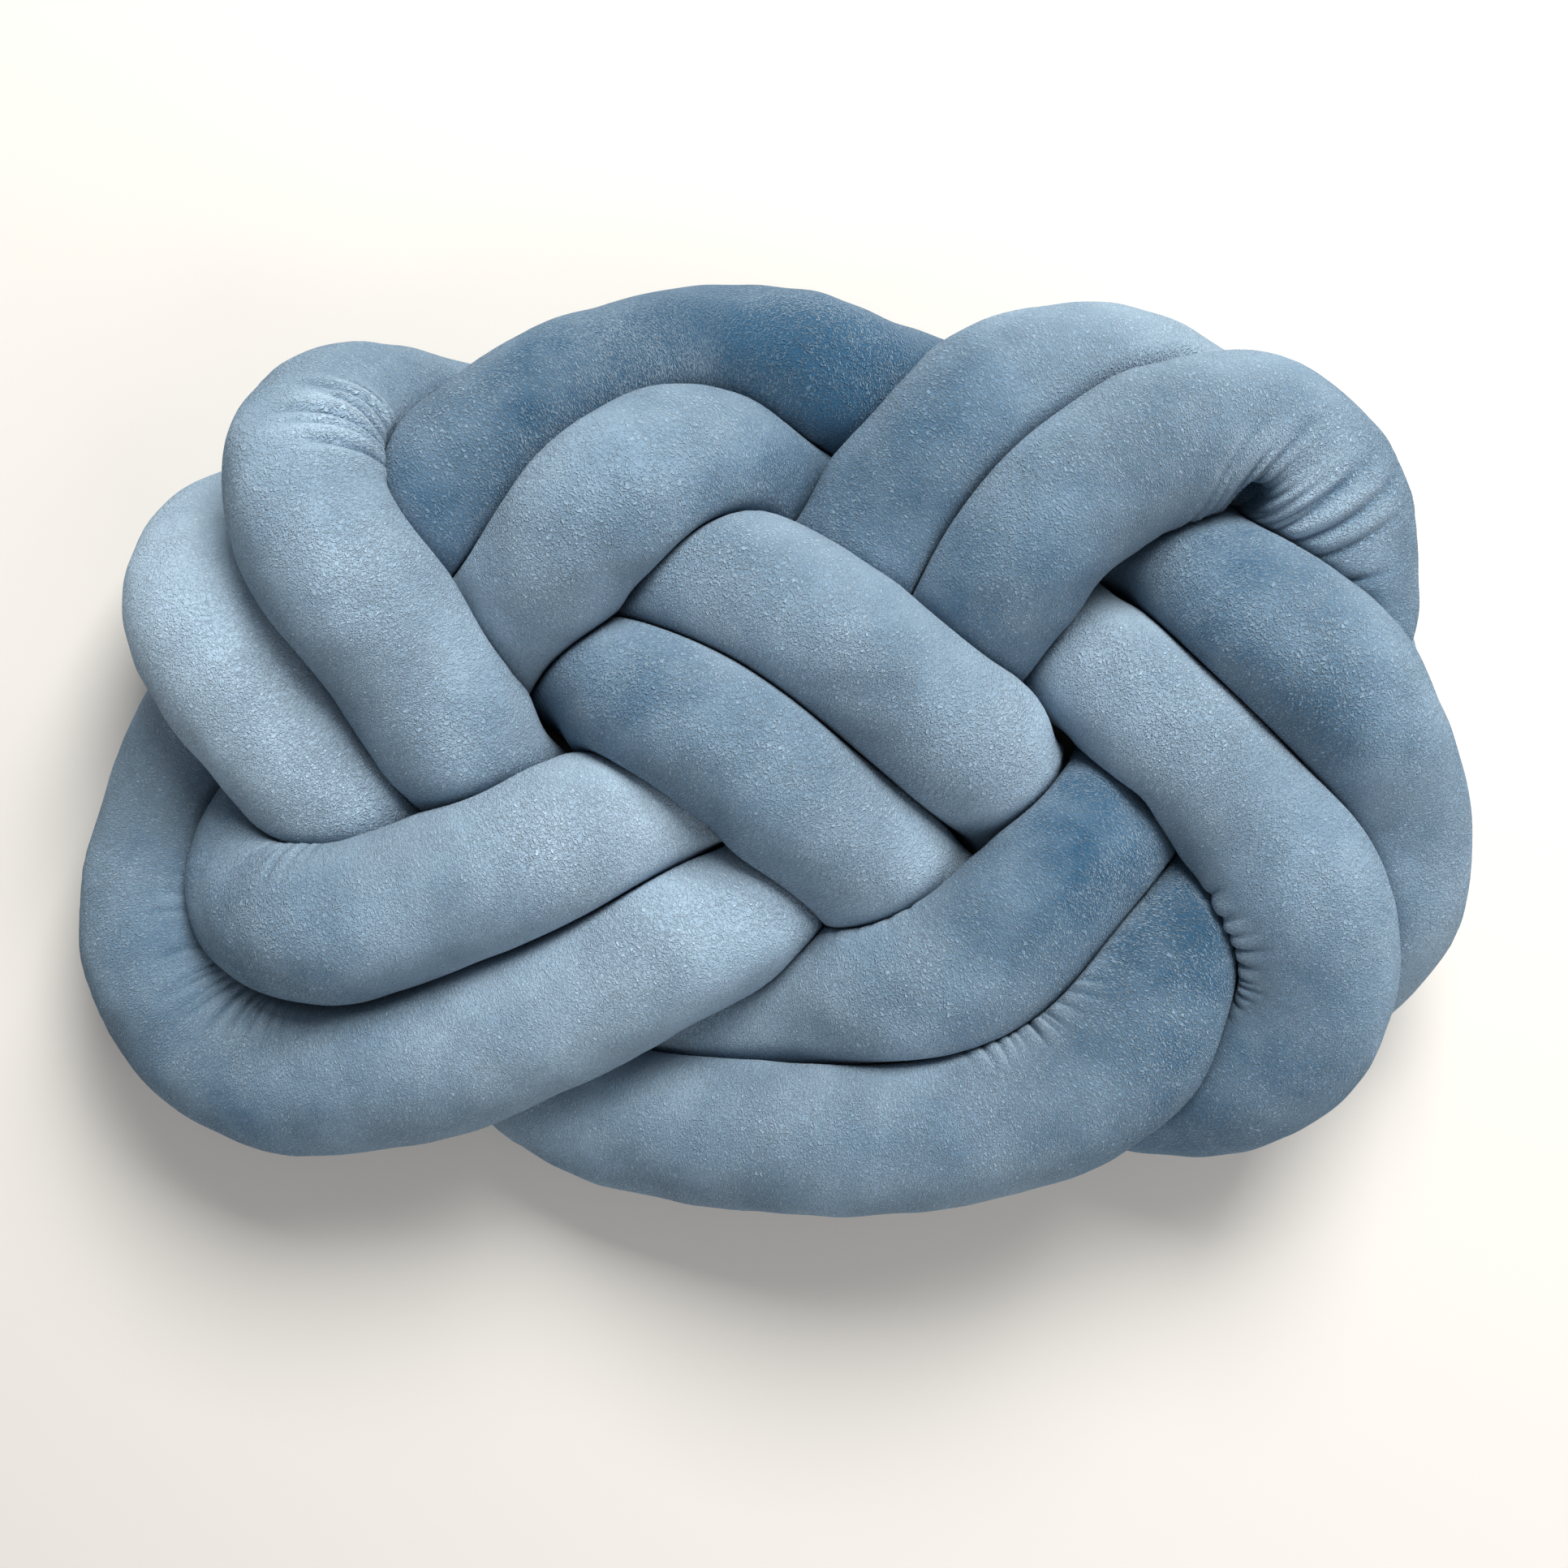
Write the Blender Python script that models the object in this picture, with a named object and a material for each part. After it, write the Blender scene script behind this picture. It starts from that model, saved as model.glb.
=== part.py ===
"""Knot cushion: two closed, stuffed plush tubes that run side by side through one flat knot.

The knot has seven crossings and seven wide arcs, and each arc shows both tubes. Every arc goes over
two others and then under two others. The two tubes are soft, so they lie flat against each other
and against the floor wherever they touch. Sizes are in millimetres until the meshes are made.
"""

from collections import namedtuple

import bpy
import numpy as np

TUBE_RADIUS = 32.0
SEAM_GAP = 1.2
RESTING_HEIGHT = 27.0
SQUEEZED_SPACING = 56.0
SQUASH_IN_HEIGHT = 1.25
MOST_BULGE = 1.10
BEND_SPAN = 100.0
CURVE_STEP = 8.0
RINGS_PER_TUBE = 222
SIDES = 20

LOOSE = 0.0
GUIDED = 0.4
PLACED = 1.0

Station = namedtuple("Station", "place ax ay az a_held bx by bz b_held")

UPPER_LEFT_LOOP = (
    Station("under the lower left loop", -135, -97, 28, LOOSE, -74, -79, 28, LOOSE),
    Station("under its inner tube", -166, -48, 30, LOOSE, -99, -39, 30, LOOSE),
    Station("comes out", -183, -15, 60, PLACED, -124, 4, 54, PLACED),
    Station("over the arch ends", -211, 21, 84, PLACED, -146, 39, 84, PLACED),
    Station("straight leg", -231, 50, 84, PLACED, -170, 77, 100, PLACED),
    Station("leg top", -246, 76, 70, PLACED, -191, 107, 104, PLACED),
    Station("turns", -244, 102, 40, PLACED, -195, 135, 88, PLACED),
    Station("crosses below, tops out", -215, 114, 28, GUIDED, -181, 153, 72, PLACED),
    Station("under the arch", -175, 110, 28, GUIDED, -158, 149, 44, PLACED),
    Station("under its inner tube", -135, 89, 28, GUIDED, -117, 130, 28, GUIDED),
)

MIDDLE_DIAGONAL = (
    Station("rises", -102, 59, 36, GUIDED, -68, 110, 34, GUIDED),
    Station("shoulder", -71, 44, 76, PLACED, -41, 92, 98, PLACED),
    Station("over the first tube", -32, 27, 86, PLACED, 4, 68, 94, PLACED),
    Station("over the second tube", 3, -5, 86, PLACED, 49, 39, 90, PLACED),
    Station("rounded end", 38, -33, 66, PLACED, 86, 11, 68, PLACED),
    Station("under the bottom arc", 77, -59, 30, LOOSE, 124, -19, 30, LOOSE),
    Station("still under it", 120, -93, 28, LOOSE, 164, -52, 28, LOOSE),
)

RIGHT_LOOP = (
    Station("turns up", 154, -119, 40, GUIDED, 189, -81, 28, GUIDED),
    Station("bottom bend", 182, -125, 62, PLACED, 214, -90, 28, GUIDED),
    Station("round the bend", 208, -113, 80, PLACED, 236, -82, 32, GUIDED),
    Station("outer side", 221, -80, 88, PLACED, 253, -59, 56, PLACED),
    Station("widest place", 213, -44, 88, PLACED, 257, -29, 78, PLACED),
    Station("over the first tube", 193, -12, 88, PLACED, 248, 1, 86, PLACED),
    Station("over the second tube", 168, 16, 86, PLACED, 226, 39, 84, PLACED),
    Station("shoulder", 140, 44, 66, PLACED, 195, 67, 80, PLACED),
    Station("goes under", 113, 71, 32, LOOSE, 168, 103, 46, PLACED),
    Station("under the far tube", 73, 91, 28, LOOSE, 124, 132, 28, LOOSE),
)

TOP_ARCH = (
    Station("rises", 37, 108, 30, LOOSE, 73, 151, 30, GUIDED),
    Station("right shoulder", 6, 122, 58, PLACED, 40, 166, 54, PLACED),
    Station("right of the top", -31, 125, 65, PLACED, 7, 176, 64, PLACED),
    Station("top of the arch", -64, 114, 75, PLACED, -30, 179, 67, PLACED),
    Station("over the first tube", -93, 92, 81, PLACED, -79, 168, 72, PLACED),
    Station("over the second tube", -114, 75, 66, PLACED, -118, 142, 82, PLACED),
    Station("goes under the leg", -145, 50, 34, LOOSE, -150, 110, 84, PLACED),
    Station("under both legs", -184, 22, 28, LOOSE, -194, 76, 34, LOOSE),
)

LOWER_LEFT_LOOP = (
    Station("comes out", -212, 0, 32, LOOSE, -233, 38, 28, LOOSE),
    Station("turns down", -223, -26, 56, PLACED, -256, 6, 36, PLACED),
    Station("side", -212, -53, 76, PLACED, -271, -30, 44, PLACED),
    Station("lower side", -182, -56, 84, PLACED, -272, -70, 50, PLACED),
    Station("bottom bend", -144, -44, 86, PLACED, -247, -111, 56, PLACED),
    Station("over the first tube", -107, -28, 86, PLACED, -203, -127, 64, PLACED),
    Station("over the second tube", -73, -14, 84, PLACED, -139, -114, 76, PLACED),
    Station("rounded end", -36, 2, 80, PLACED, -78, -86, 86, PLACED),
    Station("under the diagonal", -22, 27, 30, LOOSE, -36, -61, 84, PLACED),
    Station("under its far tube", 7, 63, 28, LOOSE, -3, -39, 48, GUIDED),
)

UPPER_RIGHT_LOOP = (
    Station("rises", 30, 91, 54, GUIDED, 27, 0, 28, LOOSE),
    Station("over the first tube", 53, 122, 70, PLACED, 55, 38, 30, LOOSE),
    Station("over the second tube", 80, 152, 74, PLACED, 82, 75, 72, PLACED),
    Station("straight side", 112, 170, 70, PLACED, 106, 109, 92, PLACED),
    Station("top", 139, 172, 58, PLACED, 139, 132, 94, PLACED),
    Station("slips below the bend", 165, 160, 40, PLACED, 172, 146, 94, PLACED),
    Station("bend", 197, 133, 28, GUIDED, 209, 141, 92, PLACED),
    Station("right leg", 222, 103, 28, GUIDED, 226, 117, 90, PLACED),
    Station("leg end", 232, 69, 28, GUIDED, 230, 86, 78, PLACED),
    Station("under the right loop", 234, 29, 28, GUIDED, 229, 59, 46, PLACED),
    Station("under its inner tube", 228, -21, 28, GUIDED, 207, 31, 28, LOOSE),
)

BOTTOM_ARC = (
    Station("rises", 196, -46, 36, LOOSE, 175, 6, 32, GUIDED),
    Station("right shoulder", 161, -68, 74, PLACED, 143, -9, 52, PLACED),
    Station("over the first tube", 150, -98, 88, PLACED, 114, -42, 82, PLACED),
    Station("over the second tube", 123, -127, 86, PLACED, 83, -70, 84, PLACED),
    Station("sweeps left", 80, -142, 84, PLACED, 46, -86, 66, PLACED),
    Station("lowest place", 25, -149, 77, PLACED, 8, -96, 46, PLACED),
    Station("sinks", -34, -148, 56, PLACED, -29, -99, 34, PLACED),
    Station("goes under", -90, -138, 34, PLACED, -53, -93, 28, LOOSE),
)

ROUTE = (
    UPPER_LEFT_LOOP
    + MIDDLE_DIAGONAL
    + RIGHT_LOOP
    + TOP_ARCH
    + LOWER_LEFT_LOOP
    + UPPER_RIGHT_LOOP
    + BOTTOM_ARC
)


def smooth_round(values, spread):
    """Weighs each row of a closed list with its neighbours: a bell curve, spread rows wide."""
    count = len(values)
    waves = np.fft.rfftfreq(count)
    weight = np.exp(-2.0 * (np.pi * waves * spread) ** 2)
    weight = weight.reshape(-1, *[1] * (values.ndim - 1))
    return np.fft.irfft(np.fft.rfft(values, axis=0) * weight, count, axis=0)


def even_steps(points, count):
    """Moves the points of a closed curve so that each is the same distance from the next."""
    closed = np.vstack([points, points[:1]])
    lengths = np.linalg.norm(np.diff(closed[:, :3], axis=0), axis=1)
    along = np.concatenate([[0.0], np.cumsum(lengths)])
    wanted = np.linspace(0.0, along[-1], count, endpoint=False)
    columns = [np.interp(wanted, along, column) for column in closed.T]
    return np.stack(columns, axis=1)


def length_of(points):
    """Adds up the distances from each point of a closed curve to the next."""
    return np.linalg.norm(np.roll(points, -1, axis=0) - points, axis=1).sum()


def curve_through(stations):
    """Joins the stations by a closed smooth curve: each piece blends the lines through its ends."""
    before, start = np.roll(stations, 1, axis=0), stations
    end, after = np.roll(stations, -1, axis=0), np.roll(stations, -2, axis=0)
    root = np.sqrt(np.linalg.norm((end - start)[:, :3], axis=1))
    t1 = np.roll(root, 1)[:, None]
    t2 = t1 + root[:, None]
    t3 = t2 + np.roll(root, -1)[:, None]
    pieces = []
    for part in np.linspace(0.0, 1.0, 16, endpoint=False):
        t = t1 + (t2 - t1) * part
        line_1 = before + (start - before) * (t / t1)
        line_2 = start + (end - start) * ((t - t1) / (t2 - t1))
        line_3 = end + (after - end) * ((t - t2) / (t3 - t2))
        blend_1 = line_1 + (line_2 - line_1) * (t / t2)
        blend_2 = line_2 + (line_3 - line_2) * ((t - t1) / (t3 - t1))
        pieces.append(blend_1 + (blend_2 - blend_1) * ((t - t1) / (t2 - t1)))
    curve = np.stack(pieces, axis=1).reshape(-1, stations.shape[1])
    return even_steps(curve, int(round(length_of(curve[:, :3]) / CURVE_STEP)))


def close_pairs(points, tube, place, tube_length, reach):
    """Lists the pairs of points nearer than reach that aren't on the same stretch of one tube."""
    first, second = np.triu_indices(len(points), 1)
    apart = np.abs(place[first] - place[second])
    apart = np.minimum(apart, tube_length[first] - apart)
    separate = (tube[first] != tube[second]) | (apart * CURVE_STEP > BEND_SPAN)
    first, second = first[separate], second[separate]
    near = np.linalg.norm(points[first] - points[second], axis=1) < reach
    return first[near], second[near]


def settle(curves):
    """Eases the tubes apart to their squeezed spacing, in 400 small steps.

    Each step moves two touching places apart by a share of the length still missing, draws each
    place a little back to its station, and takes out sharp bends. No place sinks below its rest.
    """
    counts = [len(curve) for curve in curves]
    total = sum(counts)
    target = np.concatenate(curves)
    held = target[:, 3]
    target = target[:, :3]
    tube = np.repeat([0, 1], counts)
    place = np.concatenate([np.arange(count) for count in counts])
    tube_length = np.array(counts)[tube]
    start = np.repeat([0, counts[0]], counts)
    following = start + (place + 1) % tube_length
    leading = start + (place - 1) % tube_length
    pull = np.stack([0.004 + 0.036 * held] * 2 + [np.full(total, 0.01)], axis=1)
    give = np.stack([0.45 - 0.33 * held] * 2 + [np.full(total, 0.4)], axis=1)
    stretch = np.array([1.0, 1.0, SQUASH_IN_HEIGHT])
    points = target.copy()
    for step in range(400):
        if step % 10 == 0:
            one, other = close_pairs(points, tube, place, tube_length, SQUEEZED_SPACING + 14.0)
        between = (points[one] - points[other]) * stretch
        distance = np.linalg.norm(between, axis=1) + 1e-9
        missing = np.clip(SQUEEZED_SPACING - distance, 0.0, None)
        force = between / distance[:, None] * (missing**2)[:, None]
        push = np.zeros((total, 3))
        np.add.at(push, one, force)
        np.add.at(push, other, -force)
        weight = np.bincount(one, missing, total) + np.bincount(other, missing, total)
        points = points + push / np.maximum(weight, 1e-9)[:, None] * give
        points = points + (target - points) * pull
        points[:, 2] = np.maximum(points[:, 2], RESTING_HEIGHT)
        bend = (points[following] + points[leading]) / 2.0 - points
        change = (bend[following] + bend[leading]) / 2.0 - bend
        points = points - 0.35 * change + 0.007 * bend
    settled = [smooth_round(curve, 1.6) for curve in np.split(points, [counts[0]])]
    return [even_steps(curve, len(curve)) for curve in settled]


def ring_directions(centres):
    """Gives each ring its outward directions, square to the tube, and how sharply the tube bends."""
    along = np.roll(centres, -1, axis=0) - np.roll(centres, 1, axis=0)
    along /= np.linalg.norm(along, axis=1)[:, None]
    up = np.array([0.0, 0.0, 1.0]) - along * along[:, 2:3]
    up /= np.linalg.norm(up, axis=1)[:, None]
    side = np.cross(along, up)
    spacing = length_of(centres) / len(centres)
    bend = (np.roll(along, -1, axis=0) - np.roll(along, 1, axis=0)) / (2.0 * spacing)
    return up, side, bend


def softer_least(radius, limit, softness):
    """The lesser of radius and limit, rounded where they meet and never over the limit."""
    share = np.clip(0.5 + 0.5 * (limit - radius) / softness, 0.0, 1.0)
    mixed = limit * (1.0 - share) + radius * share - softness * share * (1.0 - share)
    return np.minimum(mixed, limit)


def tube_rings(curves, which, ring_count, sides, gap):
    """Works out the rings of one soft tube.

    In a direction n from its centre c, a ring ends at the plane halfway to every other place q of
    the tubes: at |q - c| squared / (2 n . (q - c)), less half the gap. It ends at the floor, and
    short of the middle of its own bend. Then it is widened until it is as long round as at rest.
    """
    others = [even_steps(curve, 2 * len(curve)) for curve in curves]
    centres = even_steps(curves[which], ring_count)
    up, side, bend = ring_directions(centres)
    angle = np.linspace(0.0, 2.0 * np.pi, sides, endpoint=False)
    turn = np.stack([np.cos(angle), np.sin(angle)], axis=1)
    outward = turn[None, :, :1] * up[:, None] + turn[None, :, 1:] * side[:, None]
    points = np.concatenate(others)
    tube = np.repeat([0, 1], [len(other) for other in others])
    share = np.concatenate([np.arange(len(other)) / len(other) for other in others])
    whole = length_of(centres)
    limit = np.full((ring_count, sides), 1000.0)
    for ring in range(ring_count):
        apart = np.abs(share - ring / ring_count)
        apart = np.minimum(apart, 1.0 - apart) * whole
        offset = points - centres[ring]
        square = (offset**2).sum(axis=1)
        near = ((tube != which) | (apart > BEND_SPAN)) & (square < (2.6 * TUBE_RADIUS) ** 2)
        toward = np.maximum(outward[ring] @ offset[near].T, 1e-3)
        if near.any():
            limit[ring] = (square[near] / (2.0 * toward)).min(axis=1) - gap / 2.0
    down = np.maximum(-outward[:, :, 2], 1e-3)
    limit = np.minimum(limit, centres[:, 2:3] / down)
    inward = np.maximum(np.einsum("rsk,rk->rs", outward, bend), 1e-4)
    limit = np.minimum(limit, 0.82 / inward)
    size = np.full(ring_count, TUBE_RADIUS)
    for _ in range(8):
        radius = softer_least(size[:, None], limit, 2.0)
        edge = radius[:, :, None] * turn
        round_it = np.linalg.norm(np.roll(edge, -1, axis=1) - edge, axis=2).sum(axis=1)
        size = size * (2.0 * np.pi * TUBE_RADIUS / round_it) ** 0.7
        size = np.clip(size, 0.9 * TUBE_RADIUS, MOST_BULGE * TUBE_RADIUS)
        size = smooth_round(size, 20.0 * ring_count / whole)
    radius = softer_least(size[:, None], limit, 2.0)
    return centres[:, None] + outward * radius[:, :, None]


def add_tube(name, rings, material, collection):
    """Makes a closed mesh from the rings: four-sided faces from each ring to the next."""
    ring_count, sides = rings.shape[:2]
    index = np.arange(ring_count * sides).reshape(ring_count, sides)
    ahead = np.roll(index, -1, axis=0)
    corners = [index, np.roll(index, -1, axis=1), np.roll(ahead, -1, axis=1), ahead]
    faces = np.stack(corners, axis=-1).reshape(-1, 4)
    mesh = bpy.data.meshes.new(name)
    mesh.from_pydata((rings.reshape(-1, 3) / 1000.0).tolist(), [], faces.tolist())
    mesh.materials.append(material)
    mesh.shade_smooth()
    collection.objects.link(bpy.data.objects.new(name, mesh))


for old in list(bpy.data.objects):
    bpy.data.objects.remove(old)

collection = bpy.data.collections.new("knot cushion")
bpy.context.scene.collection.children.link(collection)

plush = bpy.data.materials.new("light blue plush")
plush.use_nodes = True
shader = plush.node_tree.nodes["Principled BSDF"]
shader.inputs["Base Color"].default_value = (0.27, 0.40, 0.55, 1.0)
shader.inputs["Roughness"].default_value = 0.9
shader.inputs["Sheen Weight"].default_value = 0.4

first = np.array([(s.ax, s.ay, s.az, s.a_held) for s in ROUTE], dtype=float)
second = np.array([(s.bx, s.by, s.bz, s.b_held) for s in ROUTE], dtype=float)
curves = settle([curve_through(first), curve_through(second)])

tubes = [tube_rings(curves, which, RINGS_PER_TUBE, SIDES, SEAM_GAP) for which in (0, 1)]
both = np.concatenate([tube.reshape(-1, 3) for tube in tubes])
middle = (both.min(axis=0) + both.max(axis=0)) / 2.0
middle[2] = 0.0

add_tube("first_tube", tubes[0] - middle, plush, collection)
add_tube("second_tube", tubes[1] - middle, plush, collection)
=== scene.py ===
"""Knot cushion: two closed, stuffed plush tubes that run side by side through one flat knot.

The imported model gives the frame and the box. Both tubes are worked out again from the stations of
that model, on a much finer grid, and get their gathers, their soft dents and their brushed pile.
Sizes are in millimetres until a mesh is made.
"""

from collections import namedtuple

import bpy
import numpy as np
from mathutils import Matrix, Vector


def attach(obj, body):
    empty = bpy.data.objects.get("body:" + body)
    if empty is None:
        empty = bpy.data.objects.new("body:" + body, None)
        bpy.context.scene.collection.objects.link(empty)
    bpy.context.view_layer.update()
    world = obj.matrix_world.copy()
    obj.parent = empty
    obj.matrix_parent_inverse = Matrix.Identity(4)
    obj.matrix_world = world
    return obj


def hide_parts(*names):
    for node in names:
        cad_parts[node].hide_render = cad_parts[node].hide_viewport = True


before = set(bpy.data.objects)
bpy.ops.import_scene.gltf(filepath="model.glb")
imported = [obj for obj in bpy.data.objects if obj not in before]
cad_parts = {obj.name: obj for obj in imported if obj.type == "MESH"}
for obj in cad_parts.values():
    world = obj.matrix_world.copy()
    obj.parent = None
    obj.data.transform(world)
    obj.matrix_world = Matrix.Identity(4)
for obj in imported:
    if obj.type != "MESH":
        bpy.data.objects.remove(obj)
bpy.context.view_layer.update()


# The way of the two tubes through the knot. A maker sews one long sleeve for each tube, fills it
# with soft fibre, leads both side by side over and under, and sews each sleeve's ends together.
# A station is a place on the way; held says how firmly the tube keeps to it when it settles.

TUBE_RADIUS = 32.0
RESTING_HEIGHT = 27.0
SQUEEZED_SPACING = 56.0
SQUASH_IN_HEIGHT = 1.25
BEND_SPAN = 100.0
CURVE_STEP = 8.0
POINTS_BETWEEN_STATIONS = 16
ALMOST_NOTHING = 1e-9

LOOSE = 0.0
GUIDED = 0.4
PLACED = 1.0

Station = namedtuple("Station", "place ax ay az a_held bx by bz b_held")

UPPER_LEFT_LOOP = (
    Station("under the lower left loop", -135, -97, 28, LOOSE, -74, -79, 28, LOOSE),
    Station("under its inner tube", -166, -48, 30, LOOSE, -99, -39, 30, LOOSE),
    Station("comes out", -183, -15, 60, PLACED, -124, 4, 54, PLACED),
    Station("over the arch ends", -211, 21, 84, PLACED, -146, 39, 84, PLACED),
    Station("straight leg", -231, 50, 84, PLACED, -170, 77, 100, PLACED),
    Station("leg top", -246, 76, 70, PLACED, -191, 107, 104, PLACED),
    Station("turns", -244, 102, 40, PLACED, -195, 135, 88, PLACED),
    Station("crosses below, tops out", -215, 114, 28, GUIDED, -181, 153, 72, PLACED),
    Station("under the arch", -175, 110, 28, GUIDED, -158, 149, 44, PLACED),
    Station("under its inner tube", -135, 89, 28, GUIDED, -117, 130, 28, GUIDED),
)

MIDDLE_DIAGONAL = (
    Station("rises", -102, 59, 36, GUIDED, -68, 110, 34, GUIDED),
    Station("shoulder", -71, 44, 76, PLACED, -41, 92, 98, PLACED),
    Station("over the first tube", -32, 27, 86, PLACED, 4, 68, 94, PLACED),
    Station("over the second tube", 3, -5, 86, PLACED, 49, 39, 90, PLACED),
    Station("rounded end", 38, -33, 66, PLACED, 86, 11, 68, PLACED),
    Station("under the bottom arc", 77, -59, 30, LOOSE, 124, -19, 30, LOOSE),
    Station("still under it", 120, -93, 28, LOOSE, 164, -52, 28, LOOSE),
)

RIGHT_LOOP = (
    Station("turns up", 154, -119, 40, GUIDED, 189, -81, 28, GUIDED),
    Station("bottom bend", 182, -125, 62, PLACED, 214, -90, 28, GUIDED),
    Station("round the bend", 208, -113, 80, PLACED, 236, -82, 32, GUIDED),
    Station("outer side", 221, -80, 88, PLACED, 253, -59, 56, PLACED),
    Station("widest place", 213, -44, 88, PLACED, 257, -29, 78, PLACED),
    Station("over the first tube", 193, -12, 88, PLACED, 248, 1, 86, PLACED),
    Station("over the second tube", 168, 16, 86, PLACED, 226, 39, 84, PLACED),
    Station("shoulder", 140, 44, 66, PLACED, 195, 67, 80, PLACED),
    Station("goes under", 113, 71, 32, LOOSE, 168, 103, 46, PLACED),
    Station("under the far tube", 73, 91, 28, LOOSE, 124, 132, 28, LOOSE),
)

TOP_ARCH = (
    Station("rises", 37, 108, 30, LOOSE, 73, 151, 30, GUIDED),
    Station("right shoulder", 6, 122, 58, PLACED, 40, 166, 54, PLACED),
    Station("right of the top", -31, 125, 65, PLACED, 7, 176, 64, PLACED),
    Station("top of the arch", -64, 114, 75, PLACED, -30, 179, 67, PLACED),
    Station("over the first tube", -93, 92, 81, PLACED, -79, 168, 72, PLACED),
    Station("over the second tube", -114, 75, 66, PLACED, -118, 142, 82, PLACED),
    Station("goes under the leg", -145, 50, 34, LOOSE, -150, 110, 84, PLACED),
    Station("under both legs", -184, 22, 28, LOOSE, -194, 76, 34, LOOSE),
)

LOWER_LEFT_LOOP = (
    Station("comes out", -212, 0, 32, LOOSE, -233, 38, 28, LOOSE),
    Station("turns down", -223, -26, 56, PLACED, -256, 6, 36, PLACED),
    Station("side", -212, -53, 76, PLACED, -271, -30, 44, PLACED),
    Station("lower side", -182, -56, 84, PLACED, -272, -70, 50, PLACED),
    Station("bottom bend", -144, -44, 86, PLACED, -247, -111, 56, PLACED),
    Station("over the first tube", -107, -28, 86, PLACED, -203, -127, 64, PLACED),
    Station("over the second tube", -73, -14, 84, PLACED, -139, -114, 76, PLACED),
    Station("rounded end", -36, 2, 80, PLACED, -78, -86, 86, PLACED),
    Station("under the diagonal", -22, 27, 30, LOOSE, -36, -61, 84, PLACED),
    Station("under its far tube", 7, 63, 28, LOOSE, -3, -39, 48, GUIDED),
)

UPPER_RIGHT_LOOP = (
    Station("rises", 30, 91, 54, GUIDED, 27, 0, 28, LOOSE),
    Station("over the first tube", 53, 122, 70, PLACED, 55, 38, 30, LOOSE),
    Station("over the second tube", 80, 152, 74, PLACED, 82, 75, 72, PLACED),
    Station("straight side", 112, 170, 70, PLACED, 106, 109, 92, PLACED),
    Station("top", 139, 172, 58, PLACED, 139, 132, 94, PLACED),
    Station("slips below the bend", 165, 160, 40, PLACED, 172, 146, 94, PLACED),
    Station("bend", 197, 133, 28, GUIDED, 209, 141, 92, PLACED),
    Station("right leg", 222, 103, 28, GUIDED, 226, 117, 90, PLACED),
    Station("leg end", 232, 69, 28, GUIDED, 230, 86, 78, PLACED),
    Station("under the right loop", 234, 29, 28, GUIDED, 229, 59, 46, PLACED),
    Station("under its inner tube", 228, -21, 28, GUIDED, 207, 31, 28, LOOSE),
)

BOTTOM_ARC = (
    Station("rises", 196, -46, 36, LOOSE, 175, 6, 32, GUIDED),
    Station("right shoulder", 161, -68, 74, PLACED, 143, -9, 52, PLACED),
    Station("over the first tube", 150, -98, 88, PLACED, 114, -42, 82, PLACED),
    Station("over the second tube", 123, -127, 86, PLACED, 83, -70, 84, PLACED),
    Station("sweeps left", 80, -142, 84, PLACED, 46, -86, 66, PLACED),
    Station("lowest place", 25, -149, 77, PLACED, 8, -96, 46, PLACED),
    Station("sinks", -34, -148, 56, PLACED, -29, -99, 34, PLACED),
    Station("goes under", -90, -138, 34, PLACED, -53, -93, 28, LOOSE),
)

ROUTE = (
    UPPER_LEFT_LOOP
    + MIDDLE_DIAGONAL
    + RIGHT_LOOP
    + TOP_ARCH
    + LOWER_LEFT_LOOP
    + UPPER_RIGHT_LOOP
    + BOTTOM_ARC
)


def smooth_round(values, spread):
    """Weighs each row of a closed list with its neighbours: a bell curve, spread rows wide."""
    count = len(values)
    waves = np.fft.rfftfreq(count)
    weight = np.exp(-2.0 * (np.pi * waves * spread) ** 2)
    weight = weight.reshape(-1, *[1] * (values.ndim - 1))
    return np.fft.irfft(np.fft.rfft(values, axis=0) * weight, count, axis=0)


def even_steps(points, count):
    """Moves the points of a closed curve so that each is the same distance from the next."""
    closed = np.vstack([points, points[:1]])
    lengths = np.linalg.norm(np.diff(closed[:, :3], axis=0), axis=1)
    along = np.concatenate([[0.0], np.cumsum(lengths)])
    wanted = np.linspace(0.0, along[-1], count, endpoint=False)
    columns = [np.interp(wanted, along, column) for column in closed.T]
    return np.stack(columns, axis=1)


def length_of(points):
    """Adds up the distances from each point of a closed curve to the next."""
    return np.linalg.norm(np.roll(points, -1, axis=0) - points, axis=1).sum()


def curve_through(stations):
    """Joins the stations by a closed smooth curve: each piece blends the lines through its ends."""
    before, start = np.roll(stations, 1, axis=0), stations
    end, after = np.roll(stations, -1, axis=0), np.roll(stations, -2, axis=0)
    root = np.sqrt(np.linalg.norm((end - start)[:, :3], axis=1))
    t1 = np.roll(root, 1)[:, None]
    t2 = t1 + root[:, None]
    t3 = t2 + np.roll(root, -1)[:, None]
    pieces = []
    for part in np.linspace(0.0, 1.0, POINTS_BETWEEN_STATIONS, endpoint=False):
        t = t1 + (t2 - t1) * part
        line_1 = before + (start - before) * (t / t1)
        line_2 = start + (end - start) * ((t - t1) / (t2 - t1))
        line_3 = end + (after - end) * ((t - t2) / (t3 - t2))
        blend_1 = line_1 + (line_2 - line_1) * (t / t2)
        blend_2 = line_2 + (line_3 - line_2) * ((t - t1) / (t3 - t1))
        pieces.append(blend_1 + (blend_2 - blend_1) * ((t - t1) / (t2 - t1)))
    curve = np.stack(pieces, axis=1).reshape(-1, stations.shape[1])
    return even_steps(curve, int(round(length_of(curve[:, :3]) / CURVE_STEP)))


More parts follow.
